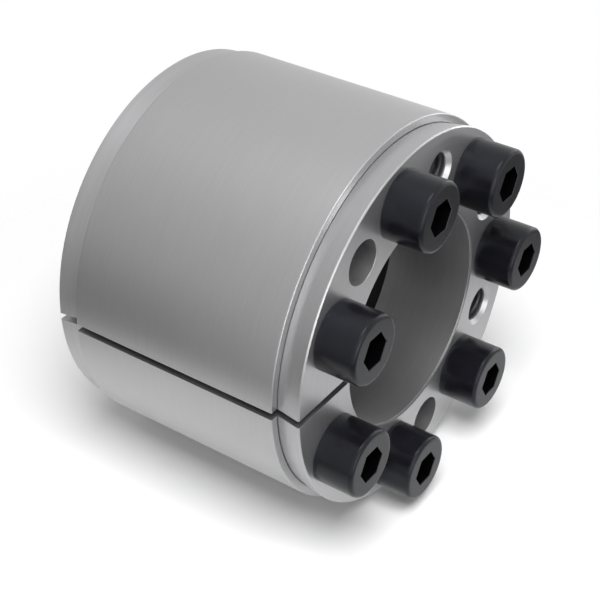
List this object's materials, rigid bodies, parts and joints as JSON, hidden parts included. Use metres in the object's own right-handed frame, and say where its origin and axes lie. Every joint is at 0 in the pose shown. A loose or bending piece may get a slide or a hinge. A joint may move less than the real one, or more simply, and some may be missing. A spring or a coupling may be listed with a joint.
{
  "type": "shaft locking assembly",
  "caption": "Keyless shaft locking assembly: slit front and rear taper rings in a slit outer ring, drawn together by socket cap screws to grip a shaft inside and a hub outside.",
  "frame": {"origin": "centre of the rear end face, on the shaft axis", "axes": "+Z along the shaft axis from the rear face towards the screw heads; +X through the slit of the rings"},
  "size_m": [0.075, 0.075, 0.062],
  "materials": {
    "taper_ring_steel": "fine turned steel, satin",
    "outer_ring_steel": "fine ground steel, satin",
    "screw_steel": "black oxide, faintly oiled"
  },
  "bodies": {
    "rear_ring": {"rear_taper_ring": "taper_ring_steel"},
    "outer_ring": {"outer_ring": "outer_ring_steel"},
    "front_ring": {"front_taper_ring": "taper_ring_steel"},
    "screw_1": {"cap_screw_1": "screw_steel"},
    "screw_2": {"cap_screw_2": "screw_steel"},
    "screw_3": {"cap_screw_3": "screw_steel"},
    "screw_4": {"cap_screw_4": "screw_steel"},
    "screw_5": {"cap_screw_5": "screw_steel"},
    "screw_6": {"cap_screw_6": "screw_steel"},
    "screw_7": {"cap_screw_7": "screw_steel"}
  },
  "joints": [
    {"name": "front_ring_draw", "type": "slide", "parent": "rear_ring", "child": "front_ring", "axis": [0, 0, -1], "range_m": [-0.00125, 0.00125]},
    {"name": "outer_ring_follow", "type": "slide", "parent": "rear_ring", "child": "outer_ring", "axis": [0, 0, -1], "range_m": [-0.00063, 0.00063]},
    {"name": "screw_1_turn", "type": "hinge", "parent": "front_ring", "child": "screw_1", "pos_m": [0.02599, 0.01252, 0.054], "axis": [0, 0, -1], "range_deg": [-360, 360]},
    {"name": "screw_2_turn", "type": "hinge", "parent": "front_ring", "child": "screw_2", "pos_m": [0.00642, 0.02813, 0.054], "axis": [0, 0, -1], "range_deg": [-360, 360]},
    {"name": "screw_3_turn", "type": "hinge", "parent": "front_ring", "child": "screw_3", "pos_m": [-0.01799, 0.02256, 0.054], "axis": [0, 0, -1], "range_deg": [-360, 360]},
    {"name": "screw_4_turn", "type": "hinge", "parent": "front_ring", "child": "screw_4", "pos_m": [-0.02885, 0, 0.054], "axis": [0, 0, -1], "range_deg": [-360, 360]},
    {"name": "screw_5_turn", "type": "hinge", "parent": "front_ring", "child": "screw_5", "pos_m": [-0.01799, -0.02256, 0.054], "axis": [0, 0, -1], "range_deg": [-360, 360]},
    {"name": "screw_6_turn", "type": "hinge", "parent": "front_ring", "child": "screw_6", "pos_m": [0.00642, -0.02813, 0.054], "axis": [0, 0, -1], "range_deg": [-360, 360]},
    {"name": "screw_7_turn", "type": "hinge", "parent": "front_ring", "child": "screw_7", "pos_m": [0.02599, -0.01252, 0.054], "axis": [0, 0, -1], "range_deg": [-360, 360]}
  ],
  "couplings": [
    {"joint": "outer_ring_follow", "follows": "front_ring_draw", "ratio": 0.5},
    {"joint": "screw_1_turn", "follows": "front_ring_draw", "rad_per_m": 5026.5},
    {"joint": "screw_2_turn", "follows": "front_ring_draw", "rad_per_m": 5026.5},
    {"joint": "screw_3_turn", "follows": "front_ring_draw", "rad_per_m": 5026.5},
    {"joint": "screw_4_turn", "follows": "front_ring_draw", "rad_per_m": 5026.5},
    {"joint": "screw_5_turn", "follows": "front_ring_draw", "rad_per_m": 5026.5},
    {"joint": "screw_6_turn", "follows": "front_ring_draw", "rad_per_m": 5026.5},
    {"joint": "screw_7_turn", "follows": "front_ring_draw", "rad_per_m": 5026.5}
  ]
}
